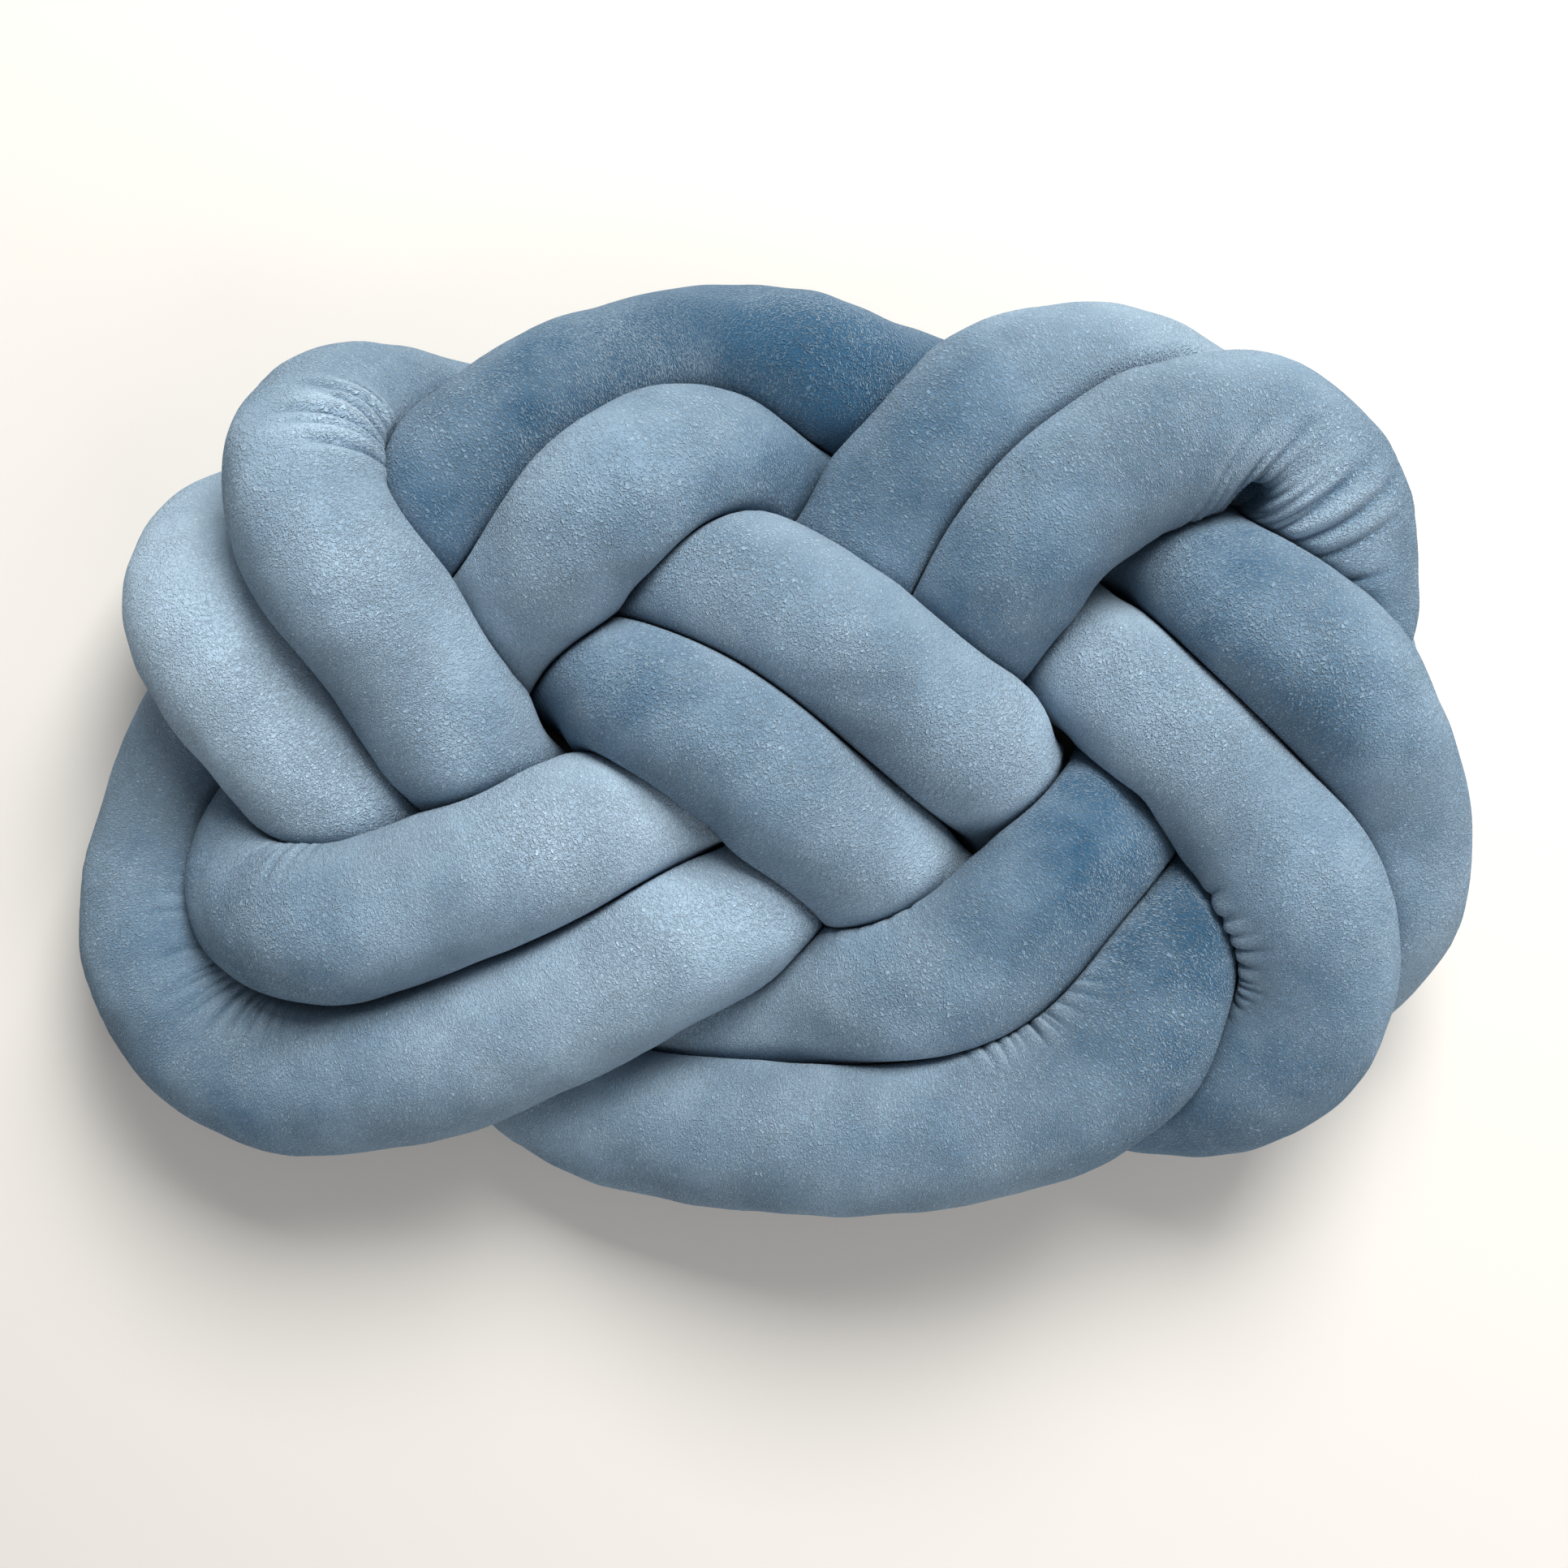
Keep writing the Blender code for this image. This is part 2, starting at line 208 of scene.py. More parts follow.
def close_pairs(points, tube, place, tube_length, reach):
    """Lists the pairs of points nearer than reach that aren't on the same stretch of one tube."""
    first, second = np.triu_indices(len(points), 1)
    apart = np.abs(place[first] - place[second])
    apart = np.minimum(apart, tube_length[first] - apart)
    separate = (tube[first] != tube[second]) | (apart * CURVE_STEP > BEND_SPAN)
    first, second = first[separate], second[separate]
    near = np.linalg.norm(points[first] - points[second], axis=1) < reach
    return first[near], second[near]


# The shares that a place moves by in each step of the settling: back to its station, away from
# what it touches, and out of its own bend. Where it is held, it is pulled more and gives less.
SETTLING_STEPS = 400
STEPS_BETWEEN_LOOKS = 10
LOOKED_BEYOND = 14.0
LOOSE_PULL = 0.004
MORE_PULL_WHERE_HELD = 0.036
PULL_IN_HEIGHT = 0.01
LOOSE_GIVE = 0.45
LESS_GIVE_WHERE_HELD = 0.33
GIVE_IN_HEIGHT = 0.4
STIFFNESS = 0.35
STRAIGHTENING = 0.007
SETTLED_SPREAD = 1.6


def settle(curves):
    """Eases the tubes apart to their squeezed spacing, in many small steps.

    Each step moves two touching places apart by a share of the length still missing, draws each
    place a little back to its station, and takes out sharp bends. No place sinks below its rest.
    """
    counts = [len(curve) for curve in curves]
    total = sum(counts)
    target = np.concatenate(curves)
    held = target[:, 3]
    target = target[:, :3]
    tube = np.repeat([0, 1], counts)
    place = np.concatenate([np.arange(count) for count in counts])
    tube_length = np.array(counts)[tube]
    start = np.repeat([0, counts[0]], counts)
    following = start + (place + 1) % tube_length
    leading = start + (place - 1) % tube_length
    pull = LOOSE_PULL + MORE_PULL_WHERE_HELD * held
    pull = np.stack([pull, pull, np.full(total, PULL_IN_HEIGHT)], axis=1)
    give = LOOSE_GIVE - LESS_GIVE_WHERE_HELD * held
    give = np.stack([give, give, np.full(total, GIVE_IN_HEIGHT)], axis=1)
    stretch = np.array([1.0, 1.0, SQUASH_IN_HEIGHT])
    points = target.copy()
    reach = SQUEEZED_SPACING + LOOKED_BEYOND
    for step in range(SETTLING_STEPS):
        if step % STEPS_BETWEEN_LOOKS == 0:
            one, other = close_pairs(points, tube, place, tube_length, reach)
        between = (points[one] - points[other]) * stretch
        distance = np.linalg.norm(between, axis=1) + ALMOST_NOTHING
        missing = np.clip(SQUEEZED_SPACING - distance, 0.0, None)
        force = between / distance[:, None] * (missing**2)[:, None]
        push = np.zeros((total, 3))
        np.add.at(push, one, force)
        np.add.at(push, other, -force)
        weight = np.bincount(one, missing, total) + np.bincount(other, missing, total)
        points = points + push / np.maximum(weight, ALMOST_NOTHING)[:, None] * give
        points = points + (target - points) * pull
        points[:, 2] = np.maximum(points[:, 2], RESTING_HEIGHT)
        bend = (points[following] + points[leading]) / 2.0 - points
        change = (bend[following] + bend[leading]) / 2.0 - bend
        points = points - STIFFNESS * change + STRAIGHTENING * bend
    settled = [smooth_round(curve, SETTLED_SPREAD) for curve in np.split(points, [counts[0]])]
    return [even_steps(curve, len(curve)) for curve in settled]


first_way = np.array([(s.ax, s.ay, s.az, s.a_held) for s in ROUTE], dtype=float)
second_way = np.array([(s.bx, s.by, s.bz, s.b_held) for s in ROUTE], dtype=float)
tube_lines = settle([curve_through(first_way), curve_through(second_way)])


# The round of each tube. A filled sleeve is a circle where it is free; where it meets its
# neighbour or the floor it lies flat against them, and it bulges a little to keep its girth.

GIRTH = 2.0 * np.pi * TUBE_RADIUS
LEAST_BULGE = 0.9
MOST_BULGE = 1.10
BULGE_EVENED_OVER = 20.0
BEND_READ_OVER = 12.0
SHARE_OF_BEND = 0.82
NEIGHBOUR_REACH = 2.6 * TUBE_RADIUS
NEIGHBOUR_PLACES_A_STEP = 2
NO_NEIGHBOUR = 1000.0
LEAST_SLANT = 1e-3
LEAST_BEND = 1e-4
GIRTH_ROUNDS = 8
GIRTH_CORRECTION = 0.7


def ring_directions(centres):
    """Gives each ring its outward directions, square to the tube, and how sharply the tube bends:
    the turn of its direction between the rings that lie 12 mm before and after it.
    """
    spacing = length_of(centres) / len(centres)
    reach = max(1, int(BEND_READ_OVER / spacing))
    along = np.roll(centres, -reach, axis=0) - np.roll(centres, reach, axis=0)
    along /= np.linalg.norm(along, axis=1)[:, None]
    up = np.array([0.0, 0.0, 1.0]) - along * along[:, 2:3]
    up /= np.linalg.norm(up, axis=1)[:, None]
    side = np.cross(along, up)
    turn = np.roll(along, -reach, axis=0) - np.roll(along, reach, axis=0)
    return up, side, turn / (2.0 * reach * spacing)


def softer_least(radius, limit, softness):
    """The lesser of radius and limit, rounded where they meet and never over the limit."""
    share = np.clip(0.5 + 0.5 * (limit - radius) / softness, 0.0, 1.0)
    mixed = limit * (1.0 - share) + radius * share - softness * share * (1.0 - share)
    return np.minimum(mixed, limit)


def tube_section(lines, which, centres, sides, gap, corner):
    """Works out the rings of one soft tube: their outward directions, radii, and limits.

    In a direction n from its centre c, a ring ends at the plane halfway to every other place q of
    the tubes: at |q - c| squared / (2 n . (q - c)), less half the gap. It ends at the floor, and
    short of the middle of its own bend. Then it is widened until it is as long round as at rest.
    corner is how widely the round and the planes blend into each other.
    """
    others = [even_steps(line, NEIGHBOUR_PLACES_A_STEP * len(line)) for line in lines]
    ring_count = len(centres)
    up, side, bend = ring_directions(centres)
    angle = np.linspace(-np.pi, np.pi, sides, endpoint=False)
    turn = np.stack([np.cos(angle), np.sin(angle)], axis=1)
    outward = turn[None, :, :1] * up[:, None] + turn[None, :, 1:] * side[:, None]
    places = np.concatenate(others)
    tube = np.repeat([0, 1], [len(other) for other in others])
    share = np.concatenate([np.arange(len(other)) / len(other) for other in others])
    whole = length_of(centres)
    limit = np.full((ring_count, sides), NO_NEIGHBOUR)
    for ring in range(ring_count):
        apart = np.abs(share - ring / ring_count)
        apart = np.minimum(apart, 1.0 - apart) * whole
        offset = places - centres[ring]
        square = (offset**2).sum(axis=1)
        near = ((tube != which) | (apart > BEND_SPAN)) & (square < NEIGHBOUR_REACH**2)
        toward = np.maximum(outward[ring] @ offset[near].T, LEAST_SLANT)
        if near.any():
            limit[ring] = (square[near] / (2.0 * toward)).min(axis=1) - gap / 2.0
    down = np.maximum(-outward[:, :, 2], LEAST_SLANT)
    limit = np.minimum(limit, centres[:, 2:3] / down)
    inward = np.maximum(np.einsum("rsk,rk->rs", outward, bend), LEAST_BEND)
    limit = np.minimum(limit, SHARE_OF_BEND / inward)
    size = np.full(ring_count, TUBE_RADIUS)
    for _ in range(GIRTH_ROUNDS):
        radius = softer_least(size[:, None], limit, corner)
        edge = radius[:, :, None] * turn
        girth = np.linalg.norm(np.roll(edge, -1, axis=1) - edge, axis=2).sum(axis=1)
        size = size * (GIRTH / girth) ** GIRTH_CORRECTION
        size = np.clip(size, LEAST_BULGE * TUBE_RADIUS, MOST_BULGE * TUBE_RADIUS)
        size = smooth_round(size, BULGE_EVENED_OVER * ring_count / whole)
    radius = softer_least(size[:, None], limit, corner)
    return outward, radius, limit


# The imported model's tubes are coarser and lie further apart. Their box gives the middle that the
# finished tubes are moved from, so that both models share one frame.
RINGS_IN_THE_SOLID = 222
SIDES_IN_THE_SOLID = 20
GAP_IN_THE_SOLID = 1.2
CORNER_IN_THE_SOLID = 2.0

corners = []
for which in (0, 1):
    centres = even_steps(tube_lines[which], RINGS_IN_THE_SOLID)
    outward, radius, _ = tube_section(
        tube_lines, which, centres, SIDES_IN_THE_SOLID, GAP_IN_THE_SOLID, CORNER_IN_THE_SOLID
    )
    surface = centres[:, None] + outward * radius[:, :, None]
    corners += [surface.min(axis=(0, 1)), surface.max(axis=(0, 1))]
middle = (np.min(corners, axis=0) + np.max(corners, axis=0)) / 2.0
middle[2] = 0.0


# Gathers. Where a sleeve turns sharply, the cloth on the inner side of the bend is too long and
# stands up in folds. They start in the crease and run round the tube, fanning out and fading.
# A row's middle fold lies along mm from its tube's first station and turn degrees from the top.

Gather = namedtuple(
    "Gather", "place tube along turn folds pitch first_lean last_lean reach depth hollow"
)

GATHERS = (
    Gather("upper right bend", 1, 2411, 84, 12, 6.4, -0.85, -0.05, 72, 4.2, 0.0),
    Gather("upper right bend, right side", 1, 2470, 84, 7, 9.5, -0.05, 0.20, 88, 4.6, 0.0),
    Gather("upper right pit", 1, 2425, 72, 0, 1.0, 0.0, 0.0, 1, 0.0, 18.0),
    Gather("upper left bend", 1, 279, 68, 7, 6.8, -0.10, 0.10, 54, 8.5, 3.0),
    Gather("right loop, inner side", 0, 900, -90, 16, 8.6, 0.0, 0.0, 29, 4.0, 0.0),
    Gather("bottom arc, inner side", 0, 2524, 84, 15, 8.0, 0.25, 0.25, 34, 3.8, 0.0),
    Gather("bottom arc's inner tube", 1, 2788, 90, 6, 8.0, 0.0, 0.0, 34, 1.6, 0.0),
    Gather("lower left loop, inner side", 1, 1811, -90, 19, 6.4, 0.0, 0.0, 60, 2.2, 0.0),
    Gather("lower left loop's inner tube", 0, 1653, -90, 7, 6.0, 0.0, 0.0, 52, 2.0, 0.0),
    Gather("top arch, inner side", 1, 1352, -90, 9, 8.5, 0.0, 0.0, 54, 1.0, 0.0),
)

FOLD_WIDTH = 0.21
FOLD_SWELL = 0.65
FOLD_FADE = 1.8
FOLD_BOTTOM_ROUNDING = 0.35
FOLD_BOTTOM_RAISED = 0.6
HOLLOW_WIDTH = 14.0

# How unlike each other a row's folds are: in place and lean, in their sway from side to side, in
# reach, depth and width, and how much shorter and shallower the row's outer folds are.
PLACE_VARIES = 0.35
LEAN_VARIES = 0.10
SWAY = 0.6
SWAY_LENGTH = 9.0
SWAY_STARTS = (0.0, 6.28)
REACH_VARIES = (0.75, 1.0)
DEPTH_VARIES = (0.55, 1.1)
WIDTH_VARIES = (0.8, 1.3)
SHORTER_OUTSIDE = 0.3
SHALLOWER_OUTSIDE = 0.5


def wrapped(value, whole):
    """Brings a distance round a loop to the shorter way: between minus half and plus half of it."""
    return (value + whole / 2.0) % whole - whole / 2.0


def gathered(along, length, turn, which, random):
    """Works out how far the gathers move the surface of one tube, outwards counted positive.

    Fold k lies at a distance u_k along the tube, which leans as it runs a distance v round. Its
    depth is exp(-|u - u_k| / width) with a rounded bottom, times a fade to nothing at its own
    reach. Between folds the cloth swells, and a hollow, deepest where the folds start, draws the
    whole place in.
    """
    relief = np.zeros((len(along), len(turn)))
    for gather in GATHERS:
        if gather.tube != which:
            continue
        u = wrapped(along - gather.along, length)[:, None]
        v = wrapped((turn - gather.turn) / 360.0 * GIRTH, GIRTH)[None, :]
        middle_fold = (gather.folds - 1) / 2.0
        for fold in range(gather.folds):
            off_centre = (fold - middle_fold) / (middle_fold + 1.0)
            place = fold - middle_fold + random.uniform(-PLACE_VARIES, PLACE_VARIES)
            place = place * gather.pitch
            lean = np.interp(off_centre, (-1.0, 1.0), (gather.first_lean, gather.last_lean))
            lean = lean + random.uniform(-LEAN_VARIES, LEAN_VARIES)
            sway = random.uniform(-SWAY, SWAY)
            sway = sway * np.sin(v / SWAY_LENGTH + random.uniform(*SWAY_STARTS))
            reach = gather.reach * (1.0 - SHORTER_OUTSIDE * off_centre**2)
            reach = reach * random.uniform(*REACH_VARIES)
            depth = gather.depth * (1.0 - SHALLOWER_OUTSIDE * off_centre**2)
            depth = depth * random.uniform(*DEPTH_VARIES)
            width = FOLD_WIDTH * gather.pitch * random.uniform(*WIDTH_VARIES)
            fade = np.clip(FOLD_FADE * (1.0 - np.abs(v) / reach), 0.0, 1.0)
            fade = fade * fade * (3.0 - 2.0 * fade)
            off = u - place - lean * v - sway
            rounded_off = np.sqrt(off**2 + FOLD_BOTTOM_ROUNDING) - FOLD_BOTTOM_RAISED
            valley = np.exp(-rounded_off / width)
            swell = np.exp(-((off / gather.pitch) ** 2))
            relief += depth * fade * (FOLD_SWELL * swell - valley)
        relief -= gather.hollow * np.exp(-(u**2 + v**2) / HOLLOW_WIDTH**2)
    return relief


# Pits and pressed places. Where three tubes meet they leave a small dark pit. In two long creases
# the filling is pressed out instead, until the tubes touch.
# depth is how far the cloth of the named tubes is drawn in at x, y; below nothing it swells.

Pit = namedtuple("Pit", "place tubes x y width depth")

PITS = (
    Pit("top arch ends at the diagonal", (0, 1), -66, 81, 9, 2.0),
    Pit("upper right loop ends", (0, 1), 142, 80, 8, 1.5),
    Pit("left of the diagonal", (0, 1), -94, 35, 10, 2.0),
    Pit("left of the diagonal, lower", (0, 1), -98, 22, 10, 2.0),
    Pit("right end of the diagonal", (0, 1), 118, 16, 9, 2.0),
    Pit("right end of the diagonal, lower", (0, 1), 143, -9, 9, 2.0),
    Pit("between the lower left loop's ends", (0, 1), -30, -18, 9, 2.0),
    Pit("between the diagonal's ends", (0, 1), 78, -26, 9, 1.5),
    Pit("below the diagonal", (0, 1), 18, -63, 10, -1.5),
    Pit("lower left crease, left", (1,), -223, -82, 34, -3.5),
    Pit("lower left crease", (1,), -192, -96, 34, -4.5),
    Pit("lower left crease, right", (1,), -159, -89, 34, -3.5),
    Pit("lower left crease, inner tube", (0,), -192, -90, 40, -1.2),
    Pit("bottom crease, right", (1,), 125, -79, 24, -1.5),
    Pit("bottom crease", (1,), 96, -100, 28, -3.0),
    Pit("bottom crease, left", (1,), 66, -112, 26, -2.0),
    Pit("bottom crease, outer tube, right", (0,), 128, -79, 24, -2.0),
    Pit("bottom crease, outer tube", (0,), 96, -100, 40, -2.0),
)


def pitted(surface, which):
    """Adds up the pits of one tube: each draws its skin in by depth exp(-distance^2 / width^2)."""
    relief = np.zeros(surface.shape[:2])
    for pit in PITS:
        if which in pit.tubes:
            square = (surface[:, :, 0] - pit.x) ** 2 + (surface[:, :, 1] - pit.y) ** 2
            relief -= pit.depth * np.exp(-square / pit.width**2)
    return relief


# Soft dents. The filling is never quite even, so the sleeve has wide shallow hollows, and the
# brushed cloth has small crumples a few millimetres across.

WIDE_DENT_DEPTH, WIDE_DENT_LENGTH = 0.55, 60.0
SMALL_DENT_DEPTH, SMALL_DENT_LENGTH = 0.22, 24.0
CRUMPLE_DEPTH, CRUMPLE_LENGTH = 0.16, 9.0
PATCH_LENGTH = 55.0
PATCH_CONTRAST = 0.7
PATCH_LEVEL = 0.2
WAVES = 28
WAVELENGTH_VARIES = (0.8, 1.25)


def soft_waves(points, wavelength, random):
    """Adds up 28 plane waves of about one wavelength, each in its own direction and phase."""
    way = random.normal(size=(WAVES, 3))
    way /= np.linalg.norm(way, axis=1)[:, None]
    way *= 2.0 * np.pi / (wavelength * random.uniform(*WAVELENGTH_VARIES, WAVES))[:, None]
    phase = random.uniform(0.0, 2.0 * np.pi, WAVES)
    return np.cos(points @ way.T + phase).sum(axis=-1) / np.sqrt(WAVES / 2.0)


def dented(surface, random):
    """Adds up the filling's dents, a wide wave and a small one, and patches of fine crumples."""
    wide = WIDE_DENT_DEPTH * soft_waves(surface, WIDE_DENT_LENGTH, random)
    small = SMALL_DENT_DEPTH * soft_waves(surface, SMALL_DENT_LENGTH, random)
    patch = soft_waves(surface, PATCH_LENGTH, random) * PATCH_CONTRAST + PATCH_LEVEL
    crumple = -np.abs(soft_waves(surface, CRUMPLE_LENGTH, random)) * CRUMPLE_DEPTH
    return wide + small + np.clip(patch, 0.0, 1.0) * crumple


# The plush. Short dense pile, brushed along the tube, with fine worm-like ripples where the pile
# has clumped. Its tone runs from deep to pale blue, partly as the pile lies and partly as painted
# light
# and shade: paler on the side towards the light and deeper on the side away. The ripples and the
# fuzz between them follow the tube; the wide brush marks lie across it as a hand leaves them.

DEEP_BLUE = "2b5879"
PALE_BLUE = "bcd6ec"
SHEEN_TINT = "b9cfe2"
RIPPLES_A_METRE = 980.0
RIPPLE_STRETCH = (1.0, 0.5, 1.0)
RIPPLE_WIDTH = 0.2
FUZZ_A_METRE = 1500.0
FUZZ_HEIGHT = 0.6
PILE_HEIGHT = 0.0014
CLUMPS_A_METRE = 22.0
LEAST_CLUMPED, MOST_CLUMPED = 0.5, 1.0
BRUSH_MARKS_A_METRE = 34.0
BRUSH_TONE = 0.6
# Painted shade of the pile's relief: paler where the pile stands high, darker in its low places.
PILE_PAINTED_SHADE = 0.30
PILE_PAINTED_SHADE_AT_FLOOR = -0.22


def colour(name):
    """Turns six hex digits, as a screen shows them, into the linear colour that a shader takes."""
    digits = [int(name[i : i + 2], 16) / 255.0 for i in (0, 2, 4)]
    linear = [d / 12.92 if d <= 0.04045 else ((d + 0.055) / 1.055) ** 2.4 for d in digits]
    return (*linear, 1.0)


def node(tree, kind, place, numbered=(), **settings):
    """Adds a shader node at a place in the tree. Sets the sockets given by number, and the
    properties and sockets given by name, with a low line for each space.
    """
    made = tree.nodes.new(kind)
    made.location = place
    for number, value in numbered:
        made.inputs[number].default_value = value
    for name, value in settings.items():
        if hasattr(made, name):
            setattr(made, name, value)
        else:
            made.inputs[name.replace("_", " ")].default_value = value
    return made


plush = bpy.data.materials.new("light blue plush")
plush.use_nodes = True
tree = plush.node_tree
join = tree.links.new
shader = tree.nodes["Principled BSDF"]
shader.inputs["Roughness"].default_value = 0.85
shader.inputs["Specular IOR Level"].default_value = 0.2
shader.inputs["Sheen Weight"].default_value = 0.8
shader.inputs["Sheen Roughness"].default_value = 0.4
shader.inputs["Sheen Tint"].default_value = colour(SHEEN_TINT)

place_on_tube = node(tree, "ShaderNodeUVMap", (-2000, 0), uv_map="along and round")
place_in_room = node(tree, "ShaderNodeTexCoord", (-2000, 300))
# This attribute holds the pile's tone with painted light and shade: paler towards the light, deeper
# away from it and in the folds' valleys.
pile_and_painted_light = node(tree, "ShaderNodeAttribute", (-1600, 600), attribute_name="pile_and_painted_light")

# Ripples: the lines where a stretched noise crosses its own middle value.
across = node(
    tree, "ShaderNodeVectorMath", (-1800, -100), [(1, RIPPLE_STRETCH)], operation="MULTIPLY"
)
join(place_on_tube.outputs["UV"], across.inputs[0])
worms = node(
    tree,
    "ShaderNodeTexNoise",
    (-1600, -100),
    Scale=RIPPLES_A_METRE,
    Detail=2.0,
    Roughness=0.6,
    Distortion=0.5,
)
join(across.outputs["Vector"], worms.inputs["Vector"])
from_middle = node(tree, "ShaderNodeMath", (-1400, -100), [(1, 0.5)], operation="SUBTRACT")
join(worms.outputs["Fac"], from_middle.inputs[0])
either_side = node(tree, "ShaderNodeMath", (-1250, -100), operation="ABSOLUTE")
join(from_middle.outputs["Value"], either_side.inputs[0])
ripple = node(
    tree,
    "ShaderNodeMapRange",
    (-1100, -100),
    interpolation_type="SMOOTHSTEP",
    From_Max=RIPPLE_WIDTH,
)
join(either_side.outputs["Value"], ripple.inputs["Value"])

# The height of the pile: ripples, deeper in the clumped patches, plus fuzz.
fuzz = node(tree, "ShaderNodeTexNoise", (-1300, -500), Scale=FUZZ_A_METRE, Detail=2.0)
join(place_on_tube.outputs["UV"], fuzz.inputs["Vector"])
patches = node(
    tree, "ShaderNodeTexNoise", (-1300, 150), Scale=CLUMPS_A_METRE, Detail=2.0, Roughness=0.5
)
join(place_in_room.outputs["Object"], patches.inputs["Vector"])
patch_strength = node(
    tree,
    "ShaderNodeMapRange",
    (-1000, 150),
    From_Min=0.38,
    From_Max=0.62,
    To_Min=LEAST_CLUMPED,
    To_Max=MOST_CLUMPED,
)
join(patches.outputs["Fac"], patch_strength.inputs["Value"])
ripple_height = node(tree, "ShaderNodeMath", (-800, -100), operation="MULTIPLY")
join(ripple.outputs["Result"], ripple_height.inputs[0])
join(patch_strength.outputs["Result"], ripple_height.inputs[1])
pile_height = node(
    tree, "ShaderNodeMath", (-600, -200), [(1, FUZZ_HEIGHT)], operation="MULTIPLY_ADD"
)
join(fuzz.outputs["Fac"], pile_height.inputs[0])
join(ripple_height.outputs["Value"], pile_height.inputs[2])
bump = node(tree, "ShaderNodeBump", (-300, -300), Strength=1.0, Distance=PILE_HEIGHT)
join(pile_height.outputs["Value"], bump.inputs["Height"])
join(bump.outputs["Normal"], shader.inputs["Normal"])

# The colour: the pile's tone with its painted light and shade, plus wide brush marks, plus a
# painted shade of the pile's relief, paler on the ripples and fuzz and darker in the low places
# between.
brushed = node(
    tree, "ShaderNodeTexNoise", (-1300, 400), Scale=BRUSH_MARKS_A_METRE, Detail=3.0, Roughness=0.55
)
join(place_in_room.outputs["Object"], brushed.inputs["Vector"])
brush_tone = node(
    tree,
    "ShaderNodeMath",
    (-1000, 450),
    [(1, BRUSH_TONE), (2, -BRUSH_TONE / 2.0)],
    operation="MULTIPLY_ADD",
)
join(brushed.outputs["Fac"], brush_tone.inputs[0])
pile_and_painted_light_tone = node(tree, "ShaderNodeMath", (-800, 500), operation="ADD", use_clamp=True)
join(pile_and_painted_light.outputs["Fac"], pile_and_painted_light_tone.inputs[0])
join(brush_tone.outputs["Value"], pile_and_painted_light_tone.inputs[1])
# Painted shade of the pile's relief: darker where the pile is low, paler on its ripples.
pile_painted_shade = node(
    tree,
    "ShaderNodeMath",
    (-800, 300),
    [(1, PILE_PAINTED_SHADE), (2, PILE_PAINTED_SHADE_AT_FLOOR)],
    operation="MULTIPLY_ADD",
)
join(pile_height.outputs["Value"], pile_painted_shade.inputs[0])
whole_tone = node(tree, "ShaderNodeMath", (-700, 400), operation="ADD", use_clamp=True)
join(pile_and_painted_light_tone.outputs["Value"], whole_tone.inputs[0])
join(pile_painted_shade.outputs["Value"], whole_tone.inputs[1])
tone = node(
    tree,
    "ShaderNodeMixRGB",
    (-600, 300),
    Color1=colour(DEEP_BLUE),
    Color2=colour(PALE_BLUE),
)
join(whole_tone.outputs["Value"], tone.inputs["Fac"])
join(tone.outputs["Color"], shader.inputs["Base Color"])


# The two tubes. Each is one closed skin of knitted plush round its fibre filling, and lies 0.3 mm
# from the other. It is worked out in 2800 rings of 78 sides, and then every third ring is kept, and
# all of them where there are folds.

RINGS = 2800
SIDES = 78
EASED_RINGS = 3.0
SEAM_GAP = 0.3
CORNER = 5.0
RELIEF_CORNER = 0.6
TURN = np.linspace(-180.0, 180.0, SIDES, endpoint=False)
RINGS_A_STEP = 3
LEAST_RELIEF = 0.15


def plush_tube(name, surface, along, pile_and_painted_light):
    """Makes the closed mesh of a tube: faces join each ring to the next, and u, v run along and
    round it in metres, with the join of v underneath.
    """
    ring_count, sides = surface.shape[:2]
    index = np.arange(ring_count * sides).reshape(ring_count, sides)
    ahead = np.roll(index, -1, axis=0)
    corners = [index, np.roll(index, -1, axis=1), np.roll(ahead, -1, axis=1), ahead]
    faces = np.stack(corners, axis=-1).reshape(-1, 4)
    mesh = bpy.data.meshes.new(name)
    mesh.from_pydata((surface.reshape(-1, 3) / 1000.0).tolist(), [], faces.tolist())
    ring, side = np.mgrid[0:ring_count, 0:sides]
    u = along[np.stack([ring, ring, ring + 1, ring + 1], axis=-1)] / 1000.0
    v = np.stack([side, side + 1, side + 1, side], axis=-1) * GIRTH / sides / 1000.0
    layout = mesh.uv_layers.new(name="along and round")
    layout.data.foreach_set("uv", np.stack([u, v], axis=-1).astype(np.float32).ravel())
    mesh.attributes.new("pile_and_painted_light", "FLOAT", "POINT").data.foreach_set(
        "value", pile_and_painted_light.astype(np.float32).ravel()
    )
    mesh.materials.append(plush)
    mesh.shade_smooth()
    piece = bpy.data.objects.new(name, mesh)
    bpy.context.scene.collection.objects.link(piece)
    return piece


# How deep or pale each stretch of tube is painted. Partly it is how the pile lies: hands leave it
# brushed flat on one stretch and up on the next, and lying pile looks deep and standing pile pale.
# Partly it is painted shade and light: deeper where a tube dives under another or lies set back in
# the knot, paler where a stretch would otherwise fall in shade. It is judged in five steps, where
# each tube comes into sight on a wide arc, half way along it, and where it goes out of sight.
DEEPEST, LOW, HALF, PALER, PALEST = 0.0, 0.25, 0.5, 0.75, 1.0
TONES_JUDGED_AT = (0.2, 0.5, 0.8)

PileAndShade = namedtuple("PileAndShade", "arc first second")

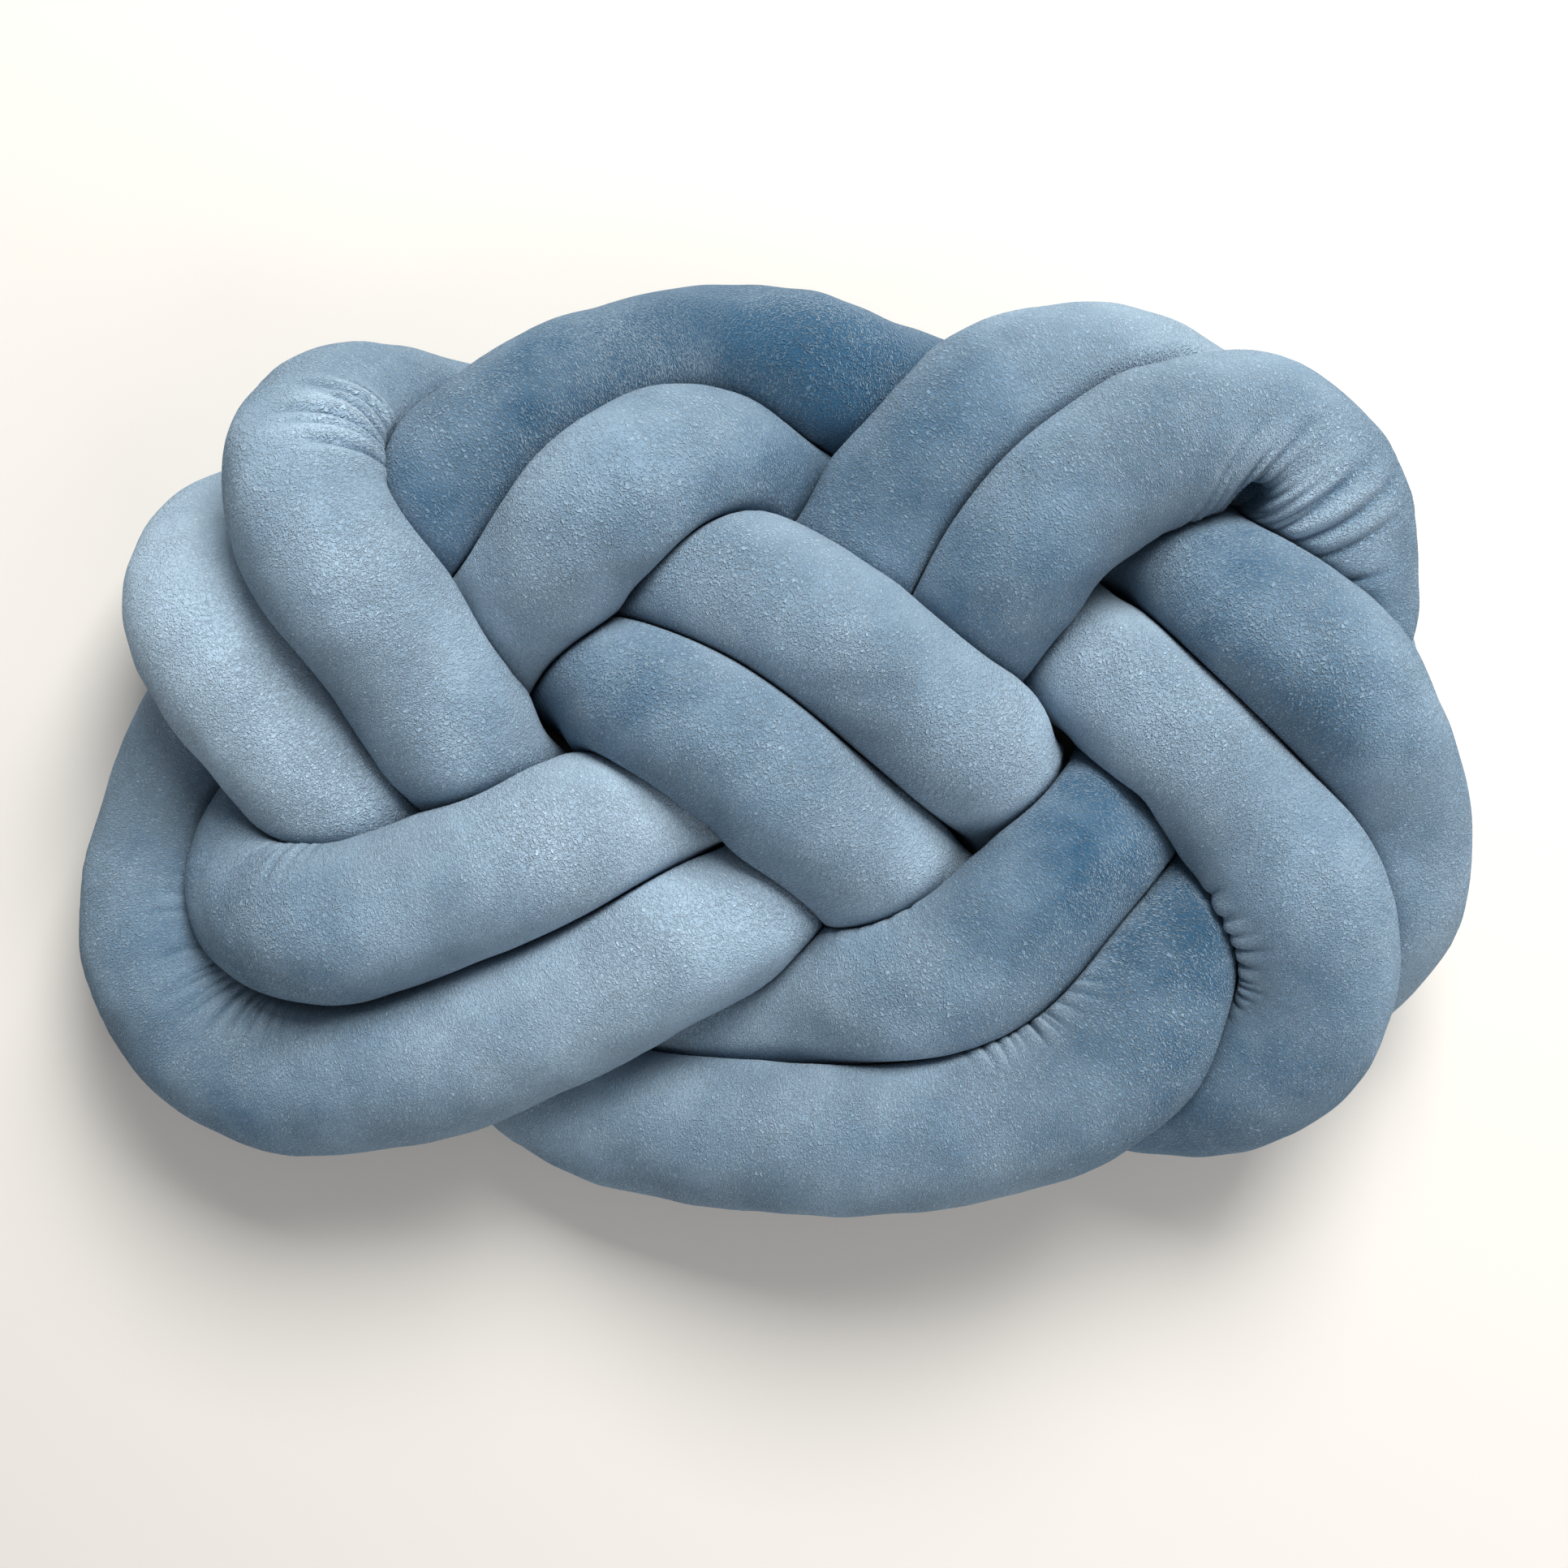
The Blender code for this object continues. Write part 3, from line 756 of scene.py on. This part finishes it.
PILE_AND_PAINTED_SHADE = (
    PileAndShade(UPPER_LEFT_LOOP, (PALER, PALEST, HALF), (HALF, PALER, LOW)),
    PileAndShade(MIDDLE_DIAGONAL, (LOW, HALF, PALEST), (HALF, HALF, PALEST)),
    PileAndShade(RIGHT_LOOP, (LOW, HALF, PALER), (PALER, HALF, LOW)),
    PileAndShade(TOP_ARCH, (DEEPEST, HALF, PALER), (DEEPEST, DEEPEST, LOW)),
    PileAndShade(LOWER_LEFT_LOOP, (LOW, HALF, PALEST), (HALF, LOW, PALER)),
    PileAndShade(UPPER_RIGHT_LOOP, (LOW, PALER, PALER), (LOW, HALF, LOW)),
    PileAndShade(BOTTOM_ARC, (DEEPEST, HALF, HALF), (DEEPEST, HALF, PALER)),
)
TONES_EVENED_OVER = 0.008


def pile_and_shade_along(way, tones, shares):
    """Reads the table's tone, the pile's lie with painted shade and light, at each share of the
    tube's length, smoothly from station to station.
    """
    at_stations = [
        np.interp(np.linspace(0.0, 1.0, len(row.arc)), TONES_JUDGED_AT, tone)
        for row, tone in zip(PILE_AND_PAINTED_SHADE, tones)
    ]
    steps = np.linalg.norm(np.diff(np.vstack([way, way[:1]])[:, :3], axis=0), axis=1)
    station_share = np.concatenate([[0.0], np.cumsum(steps)[:-1]]) / steps.sum()
    tone = np.interp(shares, station_share, np.concatenate(at_stations), period=1.0)
    return smooth_round(tone, TONES_EVENED_OVER * len(shares))


# Painted light and shade: each tube is painted a little paler on the side that faces the light and
# deeper on the side away, paler on the folds' ridges and deeper in their valleys and hollows. Near
# a touching neighbour, over 5 mm, the dents fade out.
TO_THE_LIGHT = np.array([0.10, 0.66, 0.74])
PAINTED_SIDE_LIGHT = 0.10
PAINTED_SIDE_LIGHT_FROM = 0.5
PAINTED_FOLD_SHADE = 0.10
TOUCHING_OVER = 5.0

random = np.random.default_rng(7)
for which, name in enumerate(("first_plush_tube", "second_plush_tube")):
    centres = smooth_round(even_steps(tube_lines[which], RINGS), EASED_RINGS)
    outward, radius, limit = tube_section(tube_lines, which, centres, SIDES, SEAM_GAP, CORNER)
    surface = centres[:, None] + outward * radius[:, :, None]
    length = length_of(centres)
    along = np.arange(RINGS + 1) * length / RINGS
    folds = gathered(along[:-1], length, TURN, which, random)
    free = np.clip((limit - radius) / TOUCHING_OVER, 0.0, 1.0)
    relief = folds + pitted(surface, which) + dented(surface, random) * free
    radius = softer_least(radius + relief, limit, RELIEF_CORNER)
    surface = centres[:, None] + outward * radius[:, :, None]
    tones = [(row.first, row.second)[which] for row in PILE_AND_PAINTED_SHADE]
    tone_along = pile_and_shade_along((first_way, second_way)[which], tones, np.arange(RINGS) / RINGS)
    # Painted light: paler on the side of each tube that faces the light, deeper on the side away.
    pile_and_painted_light_field = tone_along[:, None] + PAINTED_SIDE_LIGHT * (outward @ TO_THE_LIGHT - PAINTED_SIDE_LIGHT_FROM)
    # Painted shade in the folds' valleys and hollows, painted highlight on their ridges.
    pile_and_painted_light_field += PAINTED_FOLD_SHADE * folds
    folded = np.abs(folds).max(axis=1) > LEAST_RELIEF
    kept = np.flatnonzero(folded | (np.arange(RINGS) % RINGS_A_STEP == 0))
    ends = np.append(kept, RINGS)
    tube = plush_tube(name, (surface - middle)[kept], along[ends], pile_and_painted_light_field[kept])
    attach(tube, "root")
    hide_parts(("first_tube", "second_tube")[which])


# The floor and the light: a plain pale ground, a wide soft lamp above the cushion's upper right,
# and a dim one below right that lifts the lower edges as the light off the ground does.

FLOOR_SIZE = 6.0
FLOOR_LOWERED = 0.0002
WORLD_STRENGTH = 0.31
LAMPS_FACE = (0.0, 0.0, 0.05)

bpy.ops.mesh.primitive_plane_add(size=FLOOR_SIZE, location=(0.0, 0.0, -FLOOR_LOWERED))
floor = bpy.context.object
floor.name = "floor"
pale = bpy.data.materials.new("pale ground")
pale.use_nodes = True
pale.node_tree.nodes["Principled BSDF"].inputs["Base Color"].default_value = colour("e4e1dd")
pale.node_tree.nodes["Principled BSDF"].inputs["Roughness"].default_value = 0.9
floor.data.materials.append(pale)

world = bpy.data.worlds.new("studio")
world.use_nodes = True
world.node_tree.nodes["Background"].inputs["Color"].default_value = colour("eceef0")
world.node_tree.nodes["Background"].inputs["Strength"].default_value = WORLD_STRENGTH
bpy.context.scene.world = world
bpy.context.scene.view_settings.view_transform = "Standard"


def soft_lamp(name, place, size, power, tint):
    """Adds a square lamp at a place in metres, turned to face the cushion."""
    lamp = bpy.data.lights.new(name, "AREA")
    lamp.size = size
    lamp.energy = power
    lamp.color = colour(tint)[:3]
    held = bpy.data.objects.new(name, lamp)
    held.location = place
    facing = Vector(LAMPS_FACE) - Vector(place)
    held.rotation_euler = facing.to_track_quat("-Z", "Y").to_euler()
    bpy.context.scene.collection.objects.link(held)


soft_lamp("upper lamp", place=(0.45, 1.30, 1.6), size=1.1, power=59.0, tint="fffdf8")
soft_lamp("lower right lamp", place=(0.75, -0.95, 1.15), size=1.2, power=9.0, tint="f8f5f2")


# The camera looks straight down at the cushion's face, from 984 mm above the floor. It stands over
# the place that the stations are measured from, which isn't the middle of the cushion.

CAMERA_HEIGHT = 984.0
FIELD_OF_VIEW = 40.0

camera = bpy.data.cameras.new("camera")
camera.angle = np.radians(FIELD_OF_VIEW)
holder = bpy.data.objects.new("camera", camera)
holder.location = (-middle[0] / 1000.0, -middle[1] / 1000.0, CAMERA_HEIGHT / 1000.0)
bpy.context.scene.collection.objects.link(holder)
bpy.context.scene.camera = holder

bpy.context.view_layer.update()
